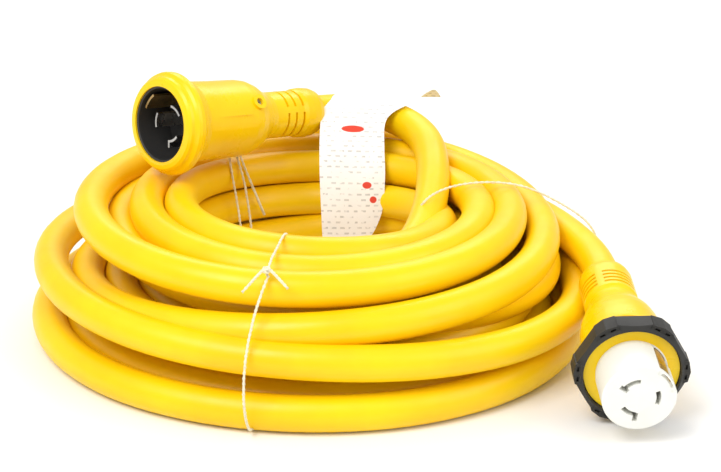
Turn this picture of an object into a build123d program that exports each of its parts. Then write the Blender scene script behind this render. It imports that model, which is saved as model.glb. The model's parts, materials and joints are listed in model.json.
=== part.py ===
from build123d import *
import math
import os

os.makedirs("parts", exist_ok=True)

# ---------------------------------------------------------------- driving dimensions (mm)
CABLE_R = 13.5                      # jacket radius of the four-core cable
COIL_X, COIL_Y = -19.58, 10.60     # centre of the coil, seen from the middle of the whole part

# male end: s is measured from the mouth towards the cable
PLUG_MOUTH = Vector(COIL_X - 120.0, COIL_Y + 13.0, 159.0)
PLUG_OUT = Vector(-0.725, -0.669, 0.163)
PLUG_LENGTH = 165.0
PLUG_CUP_R = 30.0                   # black cup, takes the nose of a connector
PLUG_CUP_DEPTH = 34.0
CUP_WALL = 1.6

# female end: s is measured from the front of the locking ring towards the cable
RING_FRONT = Vector(COIL_X + 226.0, COIL_Y - 205.0, 42.5)
CONN_OUT = Vector(0.018, -0.993, -0.116)
CONN_LENGTH = 134.0
NOSE_R = 26.5
NOSE_OUT = 31.0                     # how far the white nose stands out of the ring
RING_BORE_R = 35.0
RING_LIP_R = 31.4
RING_FLAT_R = 38.8
RING_LUG_R = 42.2
RING_LENGTH = 16.0
RING_TRAVEL = 10.0

BLADE_T = 1.8
SCREW_R = 2.6
SLOT_W = 2.2                        # strain relief slots
SLOT_DEPTH = 2.6
SLOT_ARC = 74.0
SLOT_START = 33.0


def end_frame(origin, out):
    """Frame of a cable end: z points out of its mouth, x lies level."""
    level = Vector(0, 0, 1).cross(out).normalized()
    return Plane(origin=origin, x_dir=level, z_dir=out)


def rolled(frame, degrees):
    """The same frame rolled about its own axis."""
    angle = math.radians(degrees)
    across = frame.x_dir * math.cos(angle) + frame.y_dir * math.sin(angle)
    return Plane(origin=frame.origin, x_dir=across, z_dir=frame.z_dir)


def side(frame):
    """Plane through the axis of a cable end: x is radial, y runs along the axis."""
    return Plane(origin=frame.origin, x_dir=frame.x_dir, z_dir=-frame.y_dir)


def turned(frame, outline, mode=Mode.ADD, angle=360.0):
    """Turn an outline of (radius, s) points about the axis of a cable end."""
    with BuildSketch(side(frame)) as profile:
        with BuildLine():
            Polyline(*[(r, -s) for r, s in outline], close=True)
        make_face()
    revolve(profile.sketch, Axis(frame.origin, frame.z_dir), angle, mode=mode)


def relief_slots(frame, first_s, radius, rows, pitch):
    """Four groups of slots round the neck, each slot an arc."""
    for quadrant in range(4):
        start = rolled(frame, 90.0 * quadrant + SLOT_START)
        for row in range(rows):
            s = first_s + row * pitch
            outline = [
                (radius - SLOT_DEPTH, s),
                (radius + 2, s),
                (radius + 2, s + SLOT_W),
                (radius - SLOT_DEPTH, s + SLOT_W),
            ]
            turned(start, outline, Mode.SUBTRACT, SLOT_ARC)


def save(piece, name):
    piece.part.label = name
    export_step(piece.part, "parts/" + name + ".step")


plug = end_frame(PLUG_MOUTH, PLUG_OUT)
conn = end_frame(RING_FRONT, CONN_OUT)

# ---------------------------------------------------------------- plug shell
# (radius, s) down the outside from the lip to the collar, then back up the inside
PLUG_OUTSIDE = [
    (32.4, 0.0), (35.4, 0.8), (37.0, 2.6), (37.6, 5.0), (38.4, 6.2), (40.2, 7.8), (41.0, 10.4),
    (40.8, 13.6), (39.2, 15.8), (36.4, 17.2), (35.6, 20.4), (34.8, 22.6), (33.2, 24.2), (32.4, 27.0),
    (31.6, 50.0), (31.2, 78.0), (30.2, 85.0), (27.6, 92.0), (23.4, 99.0), (20.8, 104.0), (19.2, 110.0),
    (19.2, 140.0), (20.4, 144.0), (20.8, 151.0), (20.2, 158.0), (18.6, 162.4), (16.2, PLUG_LENGTH),
]
CHAMBER_R = 24.0
PLUG_INSIDE = [
    (CABLE_R, PLUG_LENGTH), (CABLE_R, 106.0), (CHAMBER_R - 5, 92.0), (CHAMBER_R, 84.0),
    (CHAMBER_R, 46.0), (PLUG_CUP_R, 46.0), (PLUG_CUP_R, 0.0),
]
BOSS_S, BOSS_ANGLE = 80.5, 37.0
BOSS_R, BOSS_TOP_R = 6.2, 33.2
PARTING_ANGLE = 20.0
with BuildPart() as plug_shell:
    turned(plug, PLUG_OUTSIDE + PLUG_INSIDE)
    relief_slots(plug, 121.0, 19.3, 3, 8.6)
    boss_turn = rolled(plug, BOSS_ANGLE)
    boss_plane = Plane(
        origin=plug.from_local_coords(Vector(0, 0, -BOSS_S)),
        x_dir=boss_turn.y_dir,
        z_dir=boss_turn.x_dir,
    )
    with BuildSketch(boss_plane.offset(BOSS_TOP_R - 6.0)):
        Circle(BOSS_R)
    extrude(amount=6.0)
    with BuildSketch(boss_plane.offset(BOSS_TOP_R)):
        Circle(SCREW_R + 0.4)
    extrude(amount=-5.0, mode=Mode.SUBTRACT)
    with BuildSketch(boss_plane.offset(BOSS_TOP_R - 4.0)):
        Circle(1.5)
    extrude(amount=-4.0, mode=Mode.SUBTRACT)
    # raised parting line along the grip
    parting_turn = rolled(plug, PARTING_ANGLE)
    parting_plane = Plane(
        origin=plug.from_local_coords(Vector(0, 0, -53.0)),
        x_dir=parting_turn.y_dir,
        z_dir=parting_turn.x_dir,
    )
    with BuildSketch(parting_plane.offset(30.6)):
        Rectangle(0.9, 34.0)
    extrude(amount=1.6)
save(plug_shell, "plug_shell")

with BuildPart() as plug_cover_screw:
    with BuildSketch(boss_plane.offset(BOSS_TOP_R - 5.0)):
        Circle(SCREW_R)
    extrude(amount=2.6)
    with BuildSketch(boss_plane.offset(BOSS_TOP_R - 5.0)):
        Circle(1.5)
    extrude(amount=-3.0)
    with BuildSketch(boss_plane.offset(BOSS_TOP_R - 2.4)):
        Rectangle(3.2, 0.7)
        Rectangle(0.7, 3.2)
    extrude(amount=-1.2, mode=Mode.SUBTRACT)
save(plug_cover_screw, "plug_cover_screw")

# ---------------------------------------------------------------- plug face insert and blades
# each blade: (name, angle about the axis, radius of its arc, half of its arc, depth below the mouth)
BLADES = [
    ("x", 180.0, 14.0, 24.0, 8.0),
    ("y", 64.0, 14.0, 26.0, 10.0),
    ("neutral", 302.0, 14.0, 24.0, 9.0),
]
GROUND_ANGLE, GROUND_RADIUS, GROUND_HALF = 146.0, 25.4, 17.0
FLOOR_S = PLUG_CUP_DEPTH
BLOCK_FRONT_S = 44.0
BLOCK_REAR_S = 70.0


def arc_bar(frame, angle, radius, half_arc, s_front, s_back, thickness, mode=Mode.ADD):
    """A bar whose section is an arc, running along the axis of a cable end."""
    start = rolled(frame, angle - half_arc)
    outline = [
        (radius - thickness / 2, s_front),
        (radius + thickness / 2, s_front),
        (radius + thickness / 2, s_back),
        (radius - thickness / 2, s_back),
    ]
    turned(start, outline, mode, 2 * half_arc)


LINER_FRONT_S = 1.6
with BuildPart() as plug_cup_liner:
    turned(plug, [
        (PLUG_CUP_R, LINER_FRONT_S), (PLUG_CUP_R, FLOOR_S), (PLUG_CUP_R - CUP_WALL, FLOOR_S),
        (PLUG_CUP_R - CUP_WALL, LINER_FRONT_S + 0.6), (PLUG_CUP_R - 0.6, LINER_FRONT_S),
    ])
save(plug_cup_liner, "plug_cup_liner")

with BuildPart() as plug_face_insert:
    turned(plug, [
        (PLUG_CUP_R, FLOOR_S), (PLUG_CUP_R, BLOCK_FRONT_S), (0.0, BLOCK_FRONT_S), (0.0, FLOOR_S),
    ])
    for _, angle, radius, half_arc, _ in BLADES:
        arc_bar(plug, angle, radius, half_arc, FLOOR_S, BLOCK_FRONT_S, BLADE_T, Mode.SUBTRACT)
    arc_bar(plug, GROUND_ANGLE, GROUND_RADIUS, GROUND_HALF, FLOOR_S, BLOCK_FRONT_S, BLADE_T, Mode.SUBTRACT)
save(plug_face_insert, "plug_face_insert")

for name, angle, radius, half_arc, tip_s in BLADES:
    with BuildPart() as blade:
        arc_bar(plug, angle, radius, half_arc, tip_s, BLOCK_FRONT_S, BLADE_T)
        if name == "neutral":
            hook = rolled(plug, angle - half_arc)
            with BuildSketch(hook.offset(-tip_s)):
                with Locations((radius + 2.0, BLADE_T / 2)):
                    Rectangle(5.8, BLADE_T)
            extrude(amount=tip_s - FLOOR_S)
    save(blade, "plug_blade_" + name)

with BuildPart() as plug_blade_ground:
    arc_bar(plug, GROUND_ANGLE, GROUND_RADIUS, GROUND_HALF, 5.0, BLOCK_FRONT_S, BLADE_T)
save(plug_blade_ground, "plug_blade_ground")

# ---------------------------------------------------------------- terminal blocks, screws and wires
WIRES = ["black", "red", "white", "green"]
WIRE_R = 3.4
WIRE_PITCH_R = 8.2
BLOCK_R = 23.6
SCREW_PITCH_R = BLOCK_R - 4.2
WELL_DEPTH, POCKET_DEPTH = 12.0, 9.0
CORE_PITCH_R = 6.0                  # of the four cores inside the jacket


def terminal_block(frame, front_s, rear_s, name):
    """Rear insulator with four wire wells and four screw pockets in its side."""
    with BuildPart() as block:
        turned(frame, [(BLOCK_R, front_s), (BLOCK_R, rear_s), (0.0, rear_s), (0.0, front_s)])
        with BuildSketch(frame.offset(-rear_s)):
            with PolarLocations(WIRE_PITCH_R, 4, 45.0):
                Circle(WIRE_R + 0.1)
        extrude(amount=WELL_DEPTH, mode=Mode.SUBTRACT)
        with BuildSketch(frame.offset(-rear_s)):
            with PolarLocations(SCREW_PITCH_R, 4, 45.0):
                Circle(SCREW_R + 0.3)
        extrude(amount=POCKET_DEPTH, mode=Mode.SUBTRACT)
    save(block, name)


def terminal_screws(frame, rear_s, name):
    """Four slotted screws in the rear of the insulator."""
    with BuildPart() as screws:
        with BuildSketch(frame.offset(-rear_s + POCKET_DEPTH)):
            with PolarLocations(SCREW_PITCH_R, 4, 45.0):
                Circle(SCREW_R)
        extrude(amount=-8.0)
        with BuildSketch(frame.offset(-rear_s + 1.0)):
            with PolarLocations(SCREW_PITCH_R, 4, 45.0):
                Rectangle(4.2, 0.8)
        extrude(amount=1.2, mode=Mode.SUBTRACT)
    save(screws, name)


def wires(frame, rear_s, jacket_s, prefix):
    """Four straight cores from the end of the jacket to their wells."""
    for number, colour in enumerate(WIRES):
        angle = math.radians(45.0 + 90.0 * number)
        outward = Vector(math.cos(angle), math.sin(angle), 0)
        start = outward * CORE_PITCH_R + Vector(0, 0, -jacket_s + 0.5)
        bend = outward * WIRE_PITCH_R + Vector(0, 0, -rear_s - 8.0)
        end = outward * WIRE_PITCH_R + Vector(0, 0, -rear_s + WELL_DEPTH)
        route = [frame.from_local_coords(p) for p in (start, bend, end)]
        with BuildPart() as core:
            with BuildLine() as path:
                FilletPolyline(*route, radius=20.0)
            with BuildSketch(Plane(origin=route[0], z_dir=path.line % 0)):
                Circle(WIRE_R)
            sweep()
        save(core, prefix + "_wire_" + colour)


def jacket_end(frame, front_s, rear_s, name):
    """The end of the cable jacket, held in the neck of the shell."""
    with BuildPart() as jacket:
        turned(frame, [(CABLE_R, front_s), (CABLE_R, rear_s), (0.0, rear_s), (0.0, front_s)])
    save(jacket, name)


terminal_block(plug, BLOCK_FRONT_S, BLOCK_REAR_S, "plug_terminal_block")
terminal_screws(plug, BLOCK_REAR_S, "plug_terminal_screws")
PLUG_JACKET_S = 110.0
wires(plug, BLOCK_REAR_S, PLUG_JACKET_S, "plug")
jacket_end(plug, PLUG_JACKET_S, PLUG_LENGTH, "plug_jacket_end")

# ---------------------------------------------------------------- connector shell
FLANGE_FRONT_S, FLANGE_BACK_S = 3.6, 8.8
FLANGE_R = 34.5
BODY_R = 30.9
STOP_S = RING_LENGTH + RING_TRAVEL + 1.5
CORE_REAR_S = 34.0
NOSE_BEVEL, NOSE_END_S = 1.2, -0.5
STEM_R = NOSE_R - 0.5               # the core is a little thinner inside the shell
CONN_OUTSIDE = [
    (FLANGE_R, FLANGE_FRONT_S), (FLANGE_R, FLANGE_BACK_S), (BODY_R, FLANGE_BACK_S), (BODY_R, STOP_S),
    (32.2, STOP_S + 0.8), (32.4, STOP_S + 2.6), (31.2, STOP_S + 5.0), (30.8, 38.0), (30.4, 47.0),
    (29.6, 56.0), (28.0, 64.0), (25.6, 71.0), (23.0, 77.0), (21.0, 82.0), (19.6, 87.0), (19.2, 91.0),
    (19.6, 93.0), (20.6, 95.0), (20.8, 126.0), (19.8, 131.0), (16.2, CONN_LENGTH),
]
CONN_INSIDE = [
    (CABLE_R, CONN_LENGTH), (CABLE_R, 80.0), (17.0, 72.0), (21.0, 64.0), (CHAMBER_R, 56.0),
    (CHAMBER_R, CORE_REAR_S), (STEM_R, CORE_REAR_S), (STEM_R, FLANGE_FRONT_S),
]
with BuildPart() as connector_shell:
    turned(conn, CONN_OUTSIDE + CONN_INSIDE)
    relief_slots(conn, 98.4, 20.7, 4, 4.8)
save(connector_shell, "connector_shell")

# ---------------------------------------------------------------- connector core and contacts
CORE_FRONT_S = -NOSE_OUT
CONTACT_SLOT_DEPTH = 20.0
SLOT_T = 3.4
ARC_SLOTS = [("x", 0.0, 13.5, 23.0), ("y", 118.0, 13.5, 28.0), ("neutral", 238.0, 13.5, 24.0)]
HOOKS = [(146.0, 13.5), (262.0, 15.8)]
RIM_ANGLE, RIM_HALF = 36.0, 25.0
RIM_R = 22.6
RIM_DROP = 0.7                      # how far the ground block is set in
with BuildPart() as connector_core:
    turned(conn, [
        (NOSE_R - NOSE_BEVEL, CORE_FRONT_S), (NOSE_R, CORE_FRONT_S + NOSE_BEVEL), (NOSE_R, NOSE_END_S),
        (STEM_R, NOSE_END_S), (STEM_R, CORE_REAR_S), (0.0, CORE_REAR_S), (0.0, CORE_FRONT_S),
    ])
    for _, angle, radius, half_arc in ARC_SLOTS:
        arc_bar(conn, angle, radius, half_arc, CORE_FRONT_S - 1, CORE_REAR_S, SLOT_T, Mode.SUBTRACT)
    for angle, radius in HOOKS:
        with BuildSketch(rolled(conn, angle).offset(-CORE_FRONT_S)) as hook_face:
            with Locations((radius, 0.0)):
                Rectangle(7.0, SLOT_T)
        extrude(hook_face.sketch, amount=-CONTACT_SLOT_DEPTH, mode=Mode.SUBTRACT)
    # the ground slot: a groove down the rim, closed at the front by a block set in from the nose's
    # face and from its side
    arc_bar(conn, RIM_ANGLE, RIM_R + 3.4, RIM_HALF, CORE_FRONT_S - 1, CORE_FRONT_S + RIM_DROP, 6.8, Mode.SUBTRACT)
    arc_bar(conn, RIM_ANGLE, NOSE_R, RIM_HALF, CORE_FRONT_S - 1, CORE_FRONT_S + 5.0, 2 * RIM_DROP, Mode.SUBTRACT)
    arc_bar(conn, RIM_ANGLE, RIM_R + 3.4, RIM_HALF, CORE_FRONT_S + 4.0, FLANGE_FRONT_S, 6.8, Mode.SUBTRACT)
    arc_bar(conn, RIM_ANGLE, RIM_R + 1.2, RIM_HALF - 8, CORE_FRONT_S - 1, CORE_REAR_S, 2.0, Mode.SUBTRACT)
save(connector_core, "connector_core")

for name, angle, radius, half_arc in ARC_SLOTS:
    with BuildPart() as contact:
        arc_bar(conn, angle, radius, half_arc - 3, CORE_FRONT_S + CONTACT_SLOT_DEPTH, CORE_REAR_S, 1.4)
    save(contact, "connector_contact_" + name)

with BuildPart() as connector_contact_ground:
    arc_bar(conn, RIM_ANGLE, RIM_R + 1.2, RIM_HALF - 9, CORE_FRONT_S + 8.0, CORE_REAR_S, 1.4)
save(connector_contact_ground, "connector_contact_ground")

CONN_BLOCK_REAR_S = 54.0
CONN_JACKET_S = 88.0
terminal_block(conn, CORE_REAR_S, CONN_BLOCK_REAR_S, "connector_terminal_block")
terminal_screws(conn, CONN_BLOCK_REAR_S, "connector_terminal_screws")
wires(conn, CONN_BLOCK_REAR_S, CONN_JACKET_S, "connector")
jacket_end(conn, CONN_JACKET_S, CONN_LENGTH, "connector_jacket_end")

# ---------------------------------------------------------------- locking ring and its seal
SEAL_FRONT_S, SEAL_BACK_S = FLANGE_BACK_S + 0.4, 11.0
THREAD_DEPTH = 0.7
with BuildPart() as ring_seal:
    turned(conn, [
        (RING_LIP_R, SEAL_FRONT_S), (RING_BORE_R - 0.5, SEAL_FRONT_S),
        (RING_BORE_R - 0.5, SEAL_BACK_S), (RING_LIP_R, SEAL_BACK_S),
    ])
save(ring_seal, "ring_seal")

LUG_HALF_WIDTH = 8.2
LUG_ROOT_R = 34.0
RING_BEVEL = 2.6
with BuildPart() as locking_ring:
    # six flats with a bevelled front edge
    with BuildSketch(conn) as hexagon:
        RegularPolygon(RING_FLAT_R, 6, major_radius=False, rotation=0)
    extrude(hexagon.sketch, amount=-RING_LENGTH)
    turned(conn, [
        (RING_LUG_R + 6, -1.0), (RING_FLAT_R - RING_BEVEL, -1.0), (RING_FLAT_R - RING_BEVEL, 0.0),
        (RING_FLAT_R + 2.0, RING_BEVEL + 1.2), (RING_LUG_R + 6, RING_BEVEL + 1.2),
    ], Mode.SUBTRACT)
    turned(conn, [
        (RING_LUG_R - 1.4, -1.0), (RING_LUG_R + 9, -1.0), (RING_LUG_R + 9, RING_LENGTH + 1),
        (RING_LUG_R - 1.4, RING_LENGTH + 1),
    ], Mode.SUBTRACT)
    # a raised lug on each corner, with two small pockets in its front edge
    for corner in range(6):
        turn = rolled(conn, 60.0 * corner)
        with BuildSketch(turn.offset(-1.4)) as lug:
            with BuildLine():
                Polyline(
                    (LUG_ROOT_R + 2.0, -LUG_HALF_WIDTH - 1.5), (RING_LUG_R - 1.6, -LUG_HALF_WIDTH),
                    (RING_LUG_R, 0.0), (RING_LUG_R - 1.6, LUG_HALF_WIDTH),
                    (LUG_ROOT_R + 2.0, LUG_HALF_WIDTH + 1.5), close=True,
                )
            make_face()
        extrude(lug.sketch, amount=-RING_LENGTH + 1.4)
        with BuildSketch(turn.offset(-1.4)) as pockets:
            with Locations((RING_LUG_R - 3.4, -4.2), (RING_LUG_R - 3.4, 4.2)):
                Rectangle(1.6, 4.0)
        extrude(pockets.sketch, amount=-2.0, mode=Mode.SUBTRACT)
    # bore with three thread grooves, and the lip that holds the ring on the shell
    turned(conn, [
        (0.0, -1.0), (RING_BORE_R + 0.8, -1.0), (RING_BORE_R, 0.8), (RING_BORE_R, 1.6),
        (RING_BORE_R + THREAD_DEPTH, 2.2), (RING_BORE_R, 2.8), (RING_BORE_R, 4.0),
        (RING_BORE_R + THREAD_DEPTH, 4.6), (RING_BORE_R, 5.2), (RING_BORE_R, 6.4),
        (RING_BORE_R + THREAD_DEPTH, 7.0), (RING_BORE_R, 7.6),
        (RING_BORE_R, SEAL_BACK_S + 0.3), (RING_LIP_R, SEAL_BACK_S + 0.3),
        (RING_LIP_R, RING_LENGTH + 1), (0.0, RING_LENGTH + 1),
    ], Mode.SUBTRACT)
save(locking_ring, "locking_ring")


# ---------------------------------------------------------------- cable
def coil_ring(bottom, top, outer, hole, name):
    """One band of turns: a ring between two heights. outer and hole are (x, y, radius)."""
    with BuildPart() as ring:
        with BuildSketch(Plane.XY.offset(bottom)) as section:
            with Locations((COIL_X + outer[0], COIL_Y + outer[1])):
                Circle(outer[2])
            with Locations((COIL_X + hole[0], COIL_Y + hole[1])):
                Circle(hole[2], mode=Mode.SUBTRACT)
        extrude(section.sketch, amount=top - bottom)
    save(ring, name)


LOWER_TOP, MIDDLE_TOP, UPPER_TOP = 30.0, 81.0, 108.0
coil_ring(0.0, LOWER_TOP, (-8.0, -3.5, 221.0), (0.0, 0.0, 73.0), "cable_coil_lower")
coil_ring(LOWER_TOP, MIDDLE_TOP, (-9.0, -2.0, 214.0), (4.0, 2.0, 84.0), "cable_coil_middle")
coil_ring(MIDDLE_TOP, UPPER_TOP, (-6.0, -3.0, 186.0), (17.0, 0.0, 110.0), "cable_coil_upper")


def on_axis(frame, s):
    """The point on the axis of a cable end, s behind its front."""
    return frame.from_local_coords(Vector(0, 0, -s))


def corner_radii(points, share=0.45):
    """The largest arc that each corner's two runs allow."""
    radii = []
    for before, corner, after in zip(points, points[1:], points[2:]):
        turn = (corner - before).get_angle(after - corner)
        shorter = min((corner - before).length, (after - corner).length)
        radii.append(share * shorter / math.tan(math.radians(turn / 2)))
    return radii


def tube(points, radius, name):
    """A free stretch of cable or string: straight runs joined by tangent arcs."""
    radii = corner_radii(points)
    with BuildPart() as piece:
        with BuildLine() as path:
            FilletPolyline(*points, radius=radii)
        with BuildSketch(Plane(origin=points[0], z_dir=points[1] - points[0])) as section:
            Circle(radius)
        sweep(section.sketch, path=path.wires()[0])
    length = path.wires()[0].length
    ratio = piece.part.volume / (length * math.pi * radius**2)
    print(name, "length", round(length), "volume ratio", round(ratio, 3))
    print("  radii", [round(r) for r in radii])
    save(piece, name)


def from_coil(*points):
    """Points given from the centre of the coil, at floor height."""
    return [Vector(COIL_X + x, COIL_Y + y, z) for x, y, z in points]


PLUG_TAIL = [on_axis(plug, PLUG_LENGTH), on_axis(plug, PLUG_LENGTH + 28)] + from_coil(
    (50, 147, 126), (80, 126, 121), (96, 92, 117), (99, 54, 109), (96, 14, 97), (87, -24, 84),
    (74, -54, 74),
)
CONNECTOR_TAIL = [on_axis(conn, CONN_LENGTH), on_axis(conn, CONN_LENGTH + 30)] + from_coil(
    (211, 2, 62.5), (198, 43, 61), (177, 87, 59),
)
tube(PLUG_TAIL, CABLE_R, "cable_tail_plug")
tube(CONNECTOR_TAIL, CABLE_R, "cable_tail_connector")

# ---------------------------------------------------------------- strings that tie the coil
STRING_R = 1.1
TIE_FRONT = from_coil(
    (-32, -176, 111), (-38, -192, 104), (-44, -206, 84), (-48, -219, 62), (-50, -229, 40),
    (-49, -230, 18), (-46, -214, 5), (-41, -190, 1.4), (-35, -150, 1.2), (-26, -110, 1.4),
    (-20, -80, 2.5), (-18, -67, 14), (-16, -66, 46), (-17, -76, 80), (-18, -94, 108), (-23, -118, 113),
    (-29, -146, 112.4), (-31, -172, 113),
)
TIE_LEFT_INNER = from_coil(
    (-62, 72, 112), (-57, 62, 98), (-53, 54, 76), (-50, 50, 50), (-50, 51, 22), (-53, 57, 6),
    (-65, 68, 1.4), (-95, 99, 1.2), (-128, 126, 1.4), (-154, 152, 4), (-164, 160, 20), (-166, 161, 48),
    (-158, 154, 78), (-142, 138, 104), (-118, 118, 112), (-88, 94, 113),
)
TIE_LEFT_OUTER = from_coil(
    (-68, 67, 112), (-65, 56, 96), (-61, 48, 74), (-58, 42, 50), (-58, 43, 22), (-62, 49, 6),
    (-76, 60, 1.4), (-107, 88, 1.2), (-140, 112, 1.4), (-168, 134, 4), (-178, 142, 20), (-180, 143, 48),
    (-170, 138, 78), (-152, 126, 104), (-126, 106, 112), (-94, 84, 113),
)
TIE_RIGHT = from_coil(
    (66, 14, 46), (72, 2, 66), (80, -14, 88), (90, -15, 106), (112, 4, 112), (140, 3, 112.6),
    (168, 1, 108), (196, 3, 94), (220, -2, 80), (231, -3, 60), (233, 0, 36), (230, 2, 14),
    (216, 3, 2.4), (184, 2, 1.2), (144, 5, 1.4), (104, 6, 1.2), (78, 10, 2.4), (68, 14, 12),
)
tube(TIE_FRONT, STRING_R, "tie_front")
tube(TIE_LEFT_INNER, STRING_R, "tie_left_inner")
tube(TIE_LEFT_OUTER, STRING_R, "tie_left_outer")
tube(TIE_RIGHT, STRING_R, "tie_right")

# ---------------------------------------------------------------- paper tag
TAG_T = 1.0
LEAF = [(104, 128), (84, 112), (68, 92), (57, 64), (53, 42)]        # (y, z) down the hanging leaf
LEAF_X, LEAF_W = 7.0, 53.0
WING = [(166, 131), (156, 139.6), (142, 141.4), (126, 138), (104, 128)]
WING_X, WING_W = 34.0, 66.0


def sheet(profile, x, width):
    """A thin sheet: its side view, from +x, drawn out along x."""
    along = Plane(origin=(COIL_X + x, COIL_Y, 0), x_dir=(0, 1, 0), z_dir=(1, 0, 0))
    lower = [(y, z - TAG_T) for y, z in reversed(profile)]
    with BuildSketch(along) as face:
        with BuildLine():
            Polyline(*profile, *lower, close=True)
        make_face()
    extrude(face.sketch, amount=width)


with BuildPart() as warning_tag:
    sheet(LEAF, LEAF_X, LEAF_W)
    sheet(WING, WING_X, WING_W)
save(warning_tag, "paper_tag")
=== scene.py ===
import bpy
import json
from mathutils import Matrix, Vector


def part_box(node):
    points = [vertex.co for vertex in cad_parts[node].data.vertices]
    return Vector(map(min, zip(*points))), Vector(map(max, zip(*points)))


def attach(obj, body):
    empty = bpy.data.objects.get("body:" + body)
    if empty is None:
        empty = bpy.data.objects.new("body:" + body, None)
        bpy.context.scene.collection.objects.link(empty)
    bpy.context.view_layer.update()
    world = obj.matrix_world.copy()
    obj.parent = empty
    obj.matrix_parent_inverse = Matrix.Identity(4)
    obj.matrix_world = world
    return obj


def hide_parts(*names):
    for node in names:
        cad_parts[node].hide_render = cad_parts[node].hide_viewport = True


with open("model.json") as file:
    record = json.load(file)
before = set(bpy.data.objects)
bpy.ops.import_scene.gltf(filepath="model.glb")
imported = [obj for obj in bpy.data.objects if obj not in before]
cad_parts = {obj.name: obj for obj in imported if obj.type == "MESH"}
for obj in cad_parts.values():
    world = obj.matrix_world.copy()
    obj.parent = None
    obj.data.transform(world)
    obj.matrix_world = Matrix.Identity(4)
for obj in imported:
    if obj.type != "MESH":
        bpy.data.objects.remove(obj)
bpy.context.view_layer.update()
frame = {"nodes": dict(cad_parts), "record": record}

import json
import math

import bpy
from mathutils import Matrix, Vector

MM = 0.001
scene = bpy.context.scene
record = frame["record"]
mounts = {m["name"]: m for m in record["mounts"]}
nodes = frame["nodes"]

# ------------------------------------------------------------------ places, from the CAD frame
low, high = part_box("cable_coil_lower")
LOWER_OFFSET = Vector((-8.0, -3.5, 0.0))             # middle of the lowest turns, from the coil's centre
COIL = Vector(((low[0] + high[0]) / 2, (low[1] + high[1]) / 2, 0.0)) - LOWER_OFFSET * MM


def from_coil(x, y, z):
    """A point given in mm from the centre of the coil, at floor height."""
    return COIL + Vector((x, y, z)) * MM


class End:
    """Frame of a cable end: s is measured from its front back towards the cable, in mm."""

    def __init__(self, point, out):
        self.out = Vector(out).normalized()
        self.x = Vector((0, 0, 1)).cross(self.out).normalized()
        self.y = self.out.cross(self.x)
        self.front = Vector(point)

    def at(self, s, r=0.0, degrees=0.0):
        a = math.radians(degrees)
        return self.front + (-self.out * s + (self.x * math.cos(a) + self.y * math.sin(a)) * r) * MM


PLUG_LENGTH, CONN_LENGTH = 165.0, 134.0
plug = End(mounts["plug_mouth"]["pos_m"], mounts["plug_mouth"]["axis"])
THREAD_S = 4.0                                       # where the ring_thread mount's point lies
conn = End(mounts["ring_thread"]["pos_m"], mounts["ring_thread"]["axis"])
conn.front = conn.at(-THREAD_S)

# ------------------------------------------------------------------ camera
camera_data = bpy.data.cameras.new("camera")
camera_data.lens = 99.6
camera_data.sensor_width = 36.0
camera_data.clip_end = 30.0
camera = bpy.data.objects.new("camera", camera_data)
scene.collection.objects.link(camera)
camera.location = from_coil(0.0, -1478.2, 662.3)
look = Vector((0.0238, 0.9279, -0.3730))
camera.rotation_euler = look.to_track_quat("-Z", "Y").to_euler()
scene.camera = camera


# ------------------------------------------------------------------ curves
def spline(name, points, radius, around=8):
    """One open NURBS spline with these control points, as a round curve."""
    data = bpy.data.curves.new(name, "CURVE")
    data.dimensions = "3D"
    data.resolution_u = 6
    line = data.splines.new("NURBS")
    line.points.add(len(points) - 1)
    for point, place in zip(line.points, points):
        point.co = (*place, 1.0)
        point.radius = radius                        # a curve's box grows by its points' radius
    line.order_u = 3
    line.use_endpoint_u = True
    data.bevel_depth = 1.0 if radius else 0.0
    data.bevel_resolution = around
    data.use_fill_caps = True
    obj = bpy.data.objects.new(name, data)
    scene.collection.objects.link(obj)
    return obj


def centreline(obj):
    """Points along a curve's own spline."""
    bare = obj.data.copy()
    bare.bevel_depth = 0.0
    twin = bpy.data.objects.new("twin", bare)
    mesh = bpy.data.meshes.new_from_object(twin)
    places = [v.co.copy() for v in mesh.vertices]
    bpy.data.meshes.remove(mesh)
    bpy.data.objects.remove(twin)
    bpy.data.curves.remove(bare)
    return places


def length_of(places):
    return sum((b - a).length for a, b in zip(places, places[1:]))


# ------------------------------------------------------------------ the cable's route
CABLE_D = 27.0
# One row for each turn, from the connector's end of the cable to the plug's: at the back, left, front
# and right, the distance from the coil's centre in mm and the height in cable diameters.
TURNS = [
    ((170, 2.55), (155, 3.10), (155, 2.55), (180, 1.98)),
    ((143, 2.50), (131, 2.55), (127, 2.52), (127, 2.45)),
    ((91, 1.42), (102, 1.50), (109, 1.50), (104, 1.35)),
    ((86, 0.50), (108, 0.50), (97, 0.50), (96, 0.50)),
    ((115, 0.50), (135, 0.50), (122, 0.50), (121, 0.50)),
    ((142, 0.50), (162, 0.50), (149, 0.50), (146, 0.60)),
    ((117, 1.45), (129, 1.50), (136, 1.50), (133, 1.48)),
    ((143, 1.50), (156, 1.50), (163, 1.50), (160, 1.40)),
    ((169, 0.50), (189, 0.50), (176, 0.50), (173, 0.50)),
    ((196, 0.50), (216, 0.50), (203, 0.50), (200, 0.50)),
    ((196, 1.50), (212, 2.20), (200, 1.95), (206, 1.35)),
    ((170, 1.50), (183, 1.70), (188, 2.62), (183, 2.93)),
    ((165, 3.55), (178, 3.75), (170, 3.48), (158, 3.47)),
    ((137, 3.50), (133, 3.75), (143, 3.52), (133, 3.50)),
    ((108, 3.30), (105.5, 3.7), (113.5, 3.65), (102, 2.95)),
    ((97, 2.38), (104, 2.60), (100, 2.58)),
]
PER_QUARTER = 4                                      # control points in each quarter of a turn
LEAN = 16.0                                          # how far the lower turns slump to the front right
LEAN_DEGREES = -38.0
LEAN_TOP, LEAN_FADE = 3.2, 1.4


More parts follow.
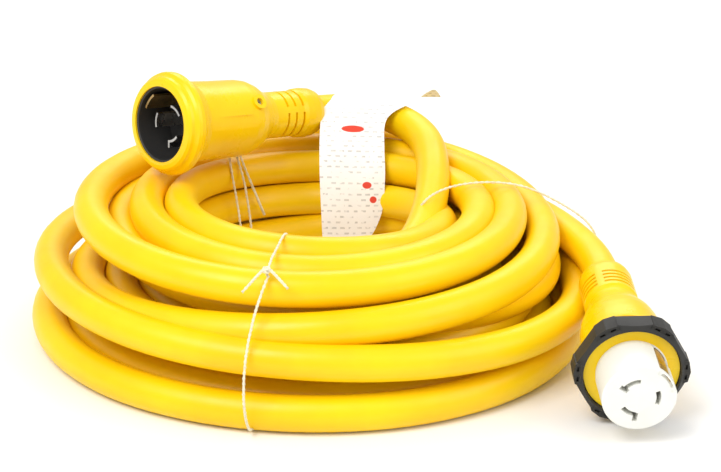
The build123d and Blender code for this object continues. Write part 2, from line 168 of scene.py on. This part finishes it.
def between(p0, p1, p2, p3, t):
    """Smooth value between p1 and p2."""
    return 0.5 * (2 * p1 + (p2 - p0) * t + (2 * p0 - 5 * p1 + 4 * p2 - p3) * t**2
                  + (3 * p1 - p0 - 3 * p2 + p3) * t**3)


def coil_points():
    stations = [station for turn in TURNS for station in turn]
    last = len(stations) - 1
    places = []
    for step in range(last * PER_QUARTER + 1):
        k = min(step // PER_QUARTER, last - 1)
        t = step / PER_QUARTER - k
        four = [stations[min(max(i, 0), last)] for i in (k - 1, k, k + 1, k + 2)]
        radius = between(*[f[0] for f in four], t)
        height = between(*[f[1] for f in four], t)
        degrees = 90.0 + 90.0 * step / PER_QUARTER
        facing = max(0.0, math.cos(math.radians(degrees - LEAN_DEGREES)))
        slump = min(max((LEAN_TOP - height) / LEAN_FADE, 0.0), 1.0)
        radius += LEAN * slump * facing**3
        angle = math.radians(degrees)
        places.append(from_coil(radius * math.cos(angle), radius * math.sin(angle),
                                max(height, 0.5) * CABLE_D))
    return places


CONN_TAIL = [conn.at(CONN_LENGTH), conn.at(CONN_LENGTH + 30)] + [
    from_coil(*p) for p in (
        (211, 2, 62.5), (198, 43, 61), (177, 87, 59), (149, 128, 60), (106, 156, 64), (54, 167, 68),
    )
]
PLUG_TAIL = [plug.at(PLUG_LENGTH), plug.at(PLUG_LENGTH + 28)] + [
    from_coil(*p) for p in (
        (50, 147, 126), (80, 126, 121), (96, 92, 117), (99, 54, 109), (96, 14, 97), (87, -24, 84),
        (70, -60, 74),
    )
]
route = CONN_TAIL + coil_points()[1:] + PLUG_TAIL[::-1]
cable = spline("cable", route, CABLE_D / 2 * MM, 10)
cable_line = centreline(cable)
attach(cable, "root")
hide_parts("cable_coil_lower", "cable_coil_middle", "cable_coil_upper", "cable_tail_plug",
            "cable_tail_connector")
print("cable length", round(length_of(cable_line), 3))


# ------------------------------------------------------------------ strings that tie the coil
STRING_D = 2.2


def rope(name, places, diameter, pitch, strands=3, sides=6):
    """Twisted strands as one mesh that follows a NURBS spline. Returns the mesh and the line."""
    guide = spline(name + "_guide", places, 0.0)
    line = centreline(guide)
    bpy.data.objects.remove(guide)
    turn_r, strand_r = diameter * 0.27, diameter * 0.29
    tangent = (line[1] - line[0]).normalized()
    normal = tangent.orthogonal().normalized()
    run = 0.0
    rings = []
    for i, place in enumerate(line):
        ahead = line[min(i + 1, len(line) - 1)] - line[max(i - 1, 0)]
        if i:
            run += (place - line[i - 1]).length
            turn = tangent.rotation_difference(ahead)
            normal = (turn @ normal).normalized()
            tangent = ahead.normalized()
        side_way = tangent.cross(normal).normalized()
        for k in range(strands):
            phase = 2 * math.pi * (run / pitch + k / strands)
            centre = place + (normal * math.cos(phase) + side_way * math.sin(phase)) * turn_r
            ring = []
            for j in range(sides):
                a = 2 * math.pi * j / sides
                ring.append(centre + (normal * math.cos(a) + side_way * math.sin(a)) * strand_r)
            rings.append(ring)
    vertices = [v for ring in rings for v in ring]
    faces = []
    steps = len(line)
    for i in range(steps - 1):
        for k in range(strands):
            a, b = (i * strands + k) * sides, ((i + 1) * strands + k) * sides
            for j in range(sides):
                n = (j + 1) % sides
                faces.append((a + j, a + n, b + n, b + j))
    for i in (0, steps - 1):
        for k in range(strands):
            a = (i * strands + k) * sides
            cap = [a + j for j in range(sides)]
            faces.append(cap[::-1] if i == 0 else cap)
    mesh = bpy.data.meshes.new(name)
    mesh.from_pydata(vertices, [], faces)
    mesh.shade_smooth()
    obj = bpy.data.objects.new(name, mesh)
    scene.collection.objects.link(obj)
    return obj, line


# Each string: its control points in mm from the coil's centre, as in the CAD model, then its length.
TIES = {
    "tie_front": ([
        (-32, -176, 109), (-37, -189, 101), (-43, -198, 84), (-48, -211, 64), (-50, -222, 42),
        (-49, -224, 20), (-46, -214, 4), (-41, -190, 1.4), (-35, -150, 1.2), (-26, -110, 1.4),
        (-20, -80, 2.5), (-18, -67, 14), (-16, -66, 46), (-17, -76, 80), (-18, -92, 105),
        (-21, -108, 115), (-27, -138, 113), (-31, -160, 113.4), (-33, -176, 110),
    ], 0.46),
    "tie_left_inner": ([
        (-62, 72, 110), (-57, 62, 98), (-53, 54, 76), (-50, 50, 50), (-50, 51, 22), (-53, 57, 6),
        (-65, 68, 1.4), (-95, 99, 1.2), (-128, 126, 1.4), (-154, 152, 4), (-160, 157, 20),
        (-160, 157, 48), (-152, 148, 78), (-136, 132, 106), (-112, 112, 117), (-84, 90, 116),
        (-63, 73, 111),
    ], 0.455),
    "tie_left_outer": ([
        (-68, 67, 111), (-65, 56, 96), (-61, 48, 74), (-58, 42, 50), (-58, 43, 22), (-62, 49, 6),
        (-76, 60, 1.4), (-107, 88, 1.2), (-140, 112, 1.4), (-168, 134, 4), (-174, 138, 20),
        (-174, 138, 48), (-164, 132, 78), (-148, 122, 104), (-122, 102, 117), (-90, 80, 116),
        (-69, 68, 112),
    ], 0.452),
    "tie_right": ([
        (66, 14, 46), (72, 2, 66), (80, -14, 90), (90, -17, 108), (112, 2, 110), (140, 3, 112.6),
        (168, 0, 110), (196, 3, 95), (220, -2, 80), (229, -3, 62), (230, 0, 36), (228, 2, 14),
        (216, 3, 2.4), (184, 2, 1.2), (144, 5, 1.4), (104, 6, 1.2), (78, 10, 2.4), (68, 14, 12),
        (65, 15, 42),
    ], 0.479),
}
# Each knot: one loose end, the middle of the knot, the other loose end.
KNOTS = {
    "tie_front": ((-18, -190, 105), (-33, -177, 114), (-50, -193, 104)),
    "tie_left_inner": ((-40, 64, 62), (-63, 72, 115), (-48, 84, 114)),
}
KNOT_R = 2.6
strings = []
for tie_name, (tie_points, tie_length) in TIES.items():
    tie, tie_line = rope("string_" + tie_name, [from_coil(*p) for p in tie_points], STRING_D * MM, 9 * MM)
    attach(tie, "root")
    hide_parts(tie_name)
    knots = []
    if tie_name in KNOTS:
        first, middle, last = (Vector(p) for p in KNOTS[tie_name])
        loops = [middle + Vector((math.cos(a) * KNOT_R, math.sin(a) * KNOT_R, math.sin(1.5 * a) * KNOT_R))
                 for a in (math.pi / 2 * k for k in range(10))]
        through = [first, first.lerp(middle, 0.5) + Vector((0, 0, 2.0)), *loops,
                   last.lerp(middle, 0.5) + Vector((0, 0, 2.0)), last]
        knot, _ = rope("knot_" + tie_name, [from_coil(*p) for p in through], STRING_D * MM, 9 * MM)
        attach(knot, "root")
        knots.append(knot)
    strings.append((tie, tie_line, tie_length, knots))
    print(tie.name, "length", round(length_of(tie_line), 3))


# ------------------------------------------------------------------ paper tag
# Rows down the tag, in mm from the coil's centre: y and z, then x of the left and right edges.
TAG_ROWS = [
    (168, 129, 40, 112), (157, 139.6, 32, 106), (142, 142.0, 22, 98), (126, 139.5, 13, 86),
    (113, 134.5, 8, 68), (103, 127.5, 7, 61), (86, 113, 6, 60), (69, 92, 6, 60), (58, 66, 7, 57),
    (53, 45, 8, 47), (50, 36, 10, 36),
]
TAG_STEPS, TAG_ACROSS = 5, 16
TAG_WAVE = 1.2


def paper_sheet():
    rows = []
    for step in range((len(TAG_ROWS) - 1) * TAG_STEPS + 1):
        k = min(step // TAG_STEPS, len(TAG_ROWS) - 2)
        four = [TAG_ROWS[min(max(i, 0), len(TAG_ROWS) - 1)] for i in (k - 1, k, k + 1, k + 2)]
        rows.append([between(*[f[n] for f in four], step / TAG_STEPS - k) for n in range(4)])
    vertices, places, run = [], [], 0.0
    for i, (y, z, left, right) in enumerate(rows):
        if i:
            run += math.hypot(y - rows[i - 1][0], z - rows[i - 1][1])
        for j in range(TAG_ACROSS + 1):
            t = j / TAG_ACROSS
            x = left + (right - left) * t
            lift = TAG_WAVE * math.sin(2.6 * t + 0.02 * run)
            vertices.append(from_coil(x, y - lift, z + lift))
            places.append((x * MM, run * MM))
    wide = TAG_ACROSS + 1
    faces = [(i * wide + j, i * wide + j + 1, (i + 1) * wide + j + 1, (i + 1) * wide + j)
             for i in range(len(rows) - 1) for j in range(TAG_ACROSS)]
    mesh = bpy.data.meshes.new("tag")
    mesh.from_pydata(vertices, [], faces)
    mesh.shade_smooth()
    layer = mesh.uv_layers.new(name="tag")
    for loop in mesh.loops:
        layer.data[loop.index].uv = places[loop.vertex_index]
    obj = bpy.data.objects.new("tag", mesh)
    scene.collection.objects.link(obj)
    return obj, run * MM, sum(face.area for face in mesh.polygons)


tag, TAG_LENGTH, TAG_AREA = paper_sheet()
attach(tag, "root")
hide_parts("paper_tag")


# ------------------------------------------------------------------ materials
class Nodes:
    """A material's node tree with a few short ways to add to it."""

    def __init__(self, name, **values):
        self.material = bpy.data.materials.new(name)
        self.material.use_nodes = True
        self.tree = self.material.node_tree
        self.shader = self.tree.nodes["Principled BSDF"]
        for key, value in values.items():
            self.shader.inputs[key.replace("_", " ")].default_value = value
        self.place = self.add("ShaderNodeTexCoord").outputs["Object"]

    def add(self, kind, **settings):
        node = self.tree.nodes.new(kind)
        for key, value in settings.items():
            setattr(node, key, value)
        return node

    def link(self, a, b):
        self.tree.links.new(a, b)

    def noise(self, scale, detail=3.0, rough=0.5, stretch=None, place=None):
        node = self.add("ShaderNodeTexNoise")
        node.inputs["Scale"].default_value = scale
        node.inputs["Detail"].default_value = detail
        node.inputs["Roughness"].default_value = rough
        source = place or self.place
        if stretch:
            mapping = self.add("ShaderNodeMapping")
            mapping.inputs["Scale"].default_value = stretch
            self.link(source, mapping.inputs["Vector"])
            source = mapping.outputs["Vector"]
        self.link(source, node.inputs["Vector"])
        return node.outputs["Fac"]

    def ramp(self, source, stops):
        node = self.add("ShaderNodeValToRGB")
        elements = node.color_ramp.elements
        while len(elements) < len(stops):
            elements.new(0.5)
        for element, (at, colour) in zip(elements, stops):
            element.position = at
            element.color = (*colour, 1.0) if len(colour) == 3 else colour
        self.link(source, node.inputs["Fac"])
        return node.outputs["Color"]

    def mix(self, factor, a, b, blend="MIX"):
        node = self.add("ShaderNodeMix", data_type="RGBA", blend_type=blend)
        for socket, value in zip((node.inputs[0], node.inputs[6], node.inputs[7]), (factor, a, b)):
            if isinstance(value, bpy.types.NodeSocket):
                self.link(value, socket)
            else:
                socket.default_value = value if isinstance(value, float) else (*value, 1.0)
        return node.outputs[2]

    def scaled(self, source, low, high, a, b):
        node = self.add("ShaderNodeMapRange")
        for socket, value in zip(("From Min", "From Max", "To Min", "To Max"), (low, high, a, b)):
            node.inputs[socket].default_value = value
        self.link(source, node.inputs["Value"])
        return node.outputs["Result"]

    def bump(self, *heights):
        """heights: (source, strength, distance in metres), one over the other."""
        before = None
        for source, strength, distance in heights:
            node = self.add("ShaderNodeBump")
            node.inputs["Strength"].default_value = strength
            node.inputs["Distance"].default_value = distance
            self.link(source, node.inputs["Height"])
            if before:
                self.link(before, node.inputs["Normal"])
            before = node.outputs["Normal"]
        self.link(before, self.shader.inputs["Normal"])

    def colour(self, source):
        self.link(source, self.shader.inputs["Base Color"])

    def rough(self, source):
        self.link(source, self.shader.inputs["Roughness"])


def moulded(name, base, dark, rough_low, rough_high, grain, grain_depth, **values):
    """Moulded rubber or plastic: fine grain, faint flow marks, rubbed and dusty patches, worn edges."""
    m = Nodes(name, **values)
    broad = m.noise(14.0, 4.0, 0.6)
    fine = m.noise(grain, 2.0, 0.6)
    scuff = m.noise(60.0, 6.0, 0.7, stretch=(1.0, 1.0, 3.5))
    tone = m.ramp(broad, [(0.35, dark), (0.62, base)])
    lighter = tuple(min(1.0, c * 1.1 + 0.02) for c in base)
    pointiness = m.add("ShaderNodeNewGeometry").outputs["Pointiness"]
    edges = m.ramp(pointiness, [(0.52, (0, 0, 0)), (0.6, (1, 1, 1))])
    tone = m.mix(m.scaled(edges, 0.0, 1.0, 0.0, 0.35), tone, lighter)
    m.colour(m.mix(m.scaled(scuff, 0.62, 0.8, 0.0, 0.25), tone, dark))
    m.rough(m.scaled(m.noise(35.0, 5.0, 0.65), 0.3, 0.7, rough_low, rough_high))
    m.bump((fine, 0.35, grain_depth), (m.noise(grain / 8, 3.0), 0.15, grain_depth * 4))
    return m.material


def metal(name, base, dark, rough_low, rough_high):
    """Drawn and slightly tarnished metal."""
    m = Nodes(name, Metallic=1.0)
    m.colour(m.ramp(m.noise(120.0, 5.0, 0.7), [(0.3, dark), (0.65, base)]))
    m.rough(m.scaled(m.noise(90.0, 4.0), 0.3, 0.7, rough_low, rough_high))
    m.bump((m.noise(900.0, 2.0, stretch=(1.0, 1.0, 0.08)), 0.2, 0.00005))
    return m.material


YELLOW, YELLOW_DARK = (0.98, 0.66, 0.002), (0.93, 0.57, 0.001)
SHELL, SHELL_DARK = (0.98, 0.66, 0.002), (0.94, 0.57, 0.001)
RUBBED = 0.35                                        # specular level of dulled surfaces
# Each moulded material: colour, darker colour, lowest and highest roughness, grain scale, grain depth in m.
MOULDED = {
    "end_shell": (SHELL, SHELL_DARK, 0.24, 0.36, 1500.0, 0.00006),
    "ring_charcoal": ((0.030, 0.028, 0.024), (0.019, 0.018, 0.015), 0.45, 0.62, 1300.0, 0.00012),
    "core_white": ((0.86, 0.86, 0.80), (0.80, 0.79, 0.72), 0.3, 0.45, 1600.0, 0.00005),
    "insert_black": ((0.022, 0.021, 0.020), (0.014, 0.013, 0.012), 0.45, 0.65, 1300.0, 0.0001),
    "seal_black": ((0.015, 0.015, 0.015), (0.01, 0.01, 0.01), 0.5, 0.7, 1300.0, 0.0001),
    "block_grey": ((0.22, 0.22, 0.23), (0.16, 0.16, 0.17), 0.5, 0.7, 1200.0, 0.0001),
    "core_black": ((0.02, 0.02, 0.02), (0.015, 0.015, 0.015), 0.35, 0.5, 1500.0, 0.00005),
    "core_red": ((0.5, 0.02, 0.02), (0.4, 0.015, 0.015), 0.35, 0.5, 1500.0, 0.00005),
    "core_neutral": ((0.75, 0.75, 0.74), (0.66, 0.66, 0.64), 0.35, 0.5, 1500.0, 0.00005),
    "core_green": ((0.02, 0.28, 0.06), (0.015, 0.2, 0.04), 0.35, 0.5, 1500.0, 0.00005),
}
# Each metal: colour, tarnished colour, lowest and highest roughness.
METALS = {
    "brass": ((0.80, 0.58, 0.26), (0.58, 0.38, 0.15), 0.22, 0.42),
    "nickel": ((0.66, 0.64, 0.60), (0.45, 0.43, 0.40), 0.2, 0.4),
    "screw_steel": ((0.6, 0.6, 0.58), (0.35, 0.35, 0.34), 0.25, 0.45),
}
DULLED = ("end_shell", "ring_charcoal")
MATERIALS = {}
for material_name, look_values in MOULDED.items():
    dulled = {"Specular_IOR_Level": RUBBED} if material_name in DULLED else {}
    MATERIALS[material_name] = moulded(material_name, *look_values, **dulled)
for material_name, look_values in METALS.items():
    MATERIALS[material_name] = metal(material_name, *look_values)


def jacket():
    """Rubber cable jacket: fine grain, shallow waviness, scuffs and dust."""
    m = Nodes("cable_jacket", Specular_IOR_Level=RUBBED)
    broad = m.noise(9.0, 4.0, 0.6)
    scuff = m.noise(45.0, 6.0, 0.72)
    tone = m.ramp(broad, [(0.35, YELLOW_DARK), (0.62, YELLOW)])
    dust = m.mix(m.scaled(scuff, 0.6, 0.85, 0.0, 0.3), tone, (0.80, 0.48, 0.01))
    m.colour(dust)
    m.rough(m.scaled(m.noise(30.0, 5.0, 0.6), 0.3, 0.7, 0.30, 0.46))
    m.bump((m.noise(1300.0, 2.0), 0.3, 0.00008), (m.noise(70.0, 4.0), 0.25, 0.0006))
    return m.material


def cotton():
    """Twisted cotton string."""
    m = Nodes("string", Roughness=0.85, Sheen_Weight=0.3)
    m.colour(m.ramp(m.noise(500.0, 3.0, 0.7), [(0.3, (0.72, 0.64, 0.42)), (0.7, (0.90, 0.86, 0.66))]))
    m.bump((m.noise(3500.0, 3.0), 0.5, 0.0001))
    return m.material


def printed_paper():
    """White paper with generic rows of grey dashes, a red oval near the top and red marks lower down."""
    m = Nodes("tag_paper", Roughness=0.6, Specular_IOR_Level=0.3)
    flat = m.add("ShaderNodeTexCoord").outputs["UV"]
    tone = m.ramp(m.noise(30.0, 3.0), [(0.3, (0.88, 0.87, 0.84)), (0.7, (0.93, 0.93, 0.91))])
    words = m.add("ShaderNodeTexBrick")
    for key, value in DASHES.items():
        words.inputs[key].default_value = value
    m.link(flat, words.inputs["Vector"])
    kept = m.scaled(m.noise(160.0, 1.0, place=flat), 0.44, 0.52, 0.0, 0.55)
    tone = m.mix(m.mix(1.0, words.outputs["Color"], kept, "MULTIPLY"), tone, (0.30, 0.29, 0.28))
    for centre, size in RED_MARKS:
        mapping = m.add("ShaderNodeMapping")
        mapping.inputs["Location"].default_value = (-centre[0] / size[0], -centre[1] / size[1], 0.0)
        mapping.inputs["Scale"].default_value = (1 / size[0], 1 / size[1], 0.0)
        m.link(flat, mapping.inputs["Vector"])
        far = m.add("ShaderNodeVectorMath", operation="LENGTH")
        m.link(mapping.outputs["Vector"], far.inputs[0])
        tone = m.mix(m.scaled(far.outputs["Value"], 0.9, 1.0, 1.0, 0.0), tone, (0.72, 0.06, 0.03))
    m.colour(tone)
    m.bump((m.noise(60.0, 3.0), 0.2, 0.0005))
    return m.material


# Middle and half size of each red mark, in metres over the flat tag.
RED_MARKS = [
    ((0.034, 0.078), (0.010, 0.0035)),
    ((0.045, 0.128), (0.004, 0.003)),
    ((0.050, 0.140), (0.003, 0.003)),
]
# Rows of dashes that stand for print, in metres over the flat tag.
DASHES = {
    "Scale": 1.0, "Brick Width": 0.007, "Row Height": 0.0046, "Mortar Size": 0.0016,
    "Color1": (1, 1, 1, 1), "Color2": (0.6, 0.6, 0.6, 1), "Mortar": (0, 0, 0, 1),
}
tag.data.materials.append(printed_paper())
MATERIALS["cable_jacket"] = jacket()
MATERIALS["string"] = cotton()
cable.data.materials.append(MATERIALS["cable_jacket"])
for tie, _, _, knots in strings:
    for piece in [tie, *knots]:
        piece.data.materials.append(MATERIALS["string"])

for part in record["subparts"]:
    shown = nodes[part["node"]]
    material = MATERIALS.get(part["material_slot"])
    if material is None:
        continue
    for number in range(max(1, len(shown.material_slots))):
        if len(shown.material_slots) <= number:
            shown.data.materials.append(material)
        else:
            shown.material_slots[number].material = material

# ------------------------------------------------------------------ floor and light
floor_mesh = bpy.data.meshes.new("floor")
FLOOR = 6.0
floor_mesh.from_pydata([(-FLOOR, -FLOOR, 0), (FLOOR, -FLOOR, 0), (FLOOR, FLOOR, 0), (-FLOOR, FLOOR, 0)],
                       [], [(0, 1, 2, 3)])
floor = bpy.data.objects.new("floor", floor_mesh)
scene.collection.objects.link(floor)
paper = Nodes("floor_paper", Roughness=0.9)
paper.colour(paper.ramp(paper.noise(2.0), [(0.3, (0.90, 0.90, 0.90)), (0.7, (0.92, 0.92, 0.92))]))
floor_mesh.materials.append(paper.material)

SKY_STRENGTH = 0.60
world = bpy.data.worlds.new("studio")
scene.world = world
world.use_nodes = True
world.node_tree.nodes["Background"].inputs["Color"].default_value = (1.0, 1.0, 1.0, 1.0)
world.node_tree.nodes["Background"].inputs["Strength"].default_value = SKY_STRENGTH
scene.view_settings.view_transform = "Standard"


def softbox(name, place, aim, size, power):
    data = bpy.data.lights.new(name, "AREA")
    data.shape = "RECTANGLE"
    data.size, data.size_y = size
    data.energy = power
    light = bpy.data.objects.new(name, data)
    scene.collection.objects.link(light)
    light.location = place
    light.rotation_euler = (Vector(aim) - Vector(place)).to_track_quat("-Z", "Y").to_euler()


# Each softbox: its place and what it points at, its width and height in metres, its power in watts.
SOFTBOXES = {
    "key": ((-0.9, -1.1, 1.9), (0, 0, 0.05), (1.2, 1.2), 34.0),
    "fill": ((1.5, -0.8, 1.3), (0, 0, 0.05), (1.4, 1.4), 13.0),
    "back": ((0.2, 1.6, 1.5), (0, 0, 0.1), (1.8, 0.8), 15.0),
}
for light_name, (light_place, light_aim, light_size, light_power) in SOFTBOXES.items():
    softbox(light_name, light_place, light_aim, light_size, light_power)

bpy.context.view_layer.update()
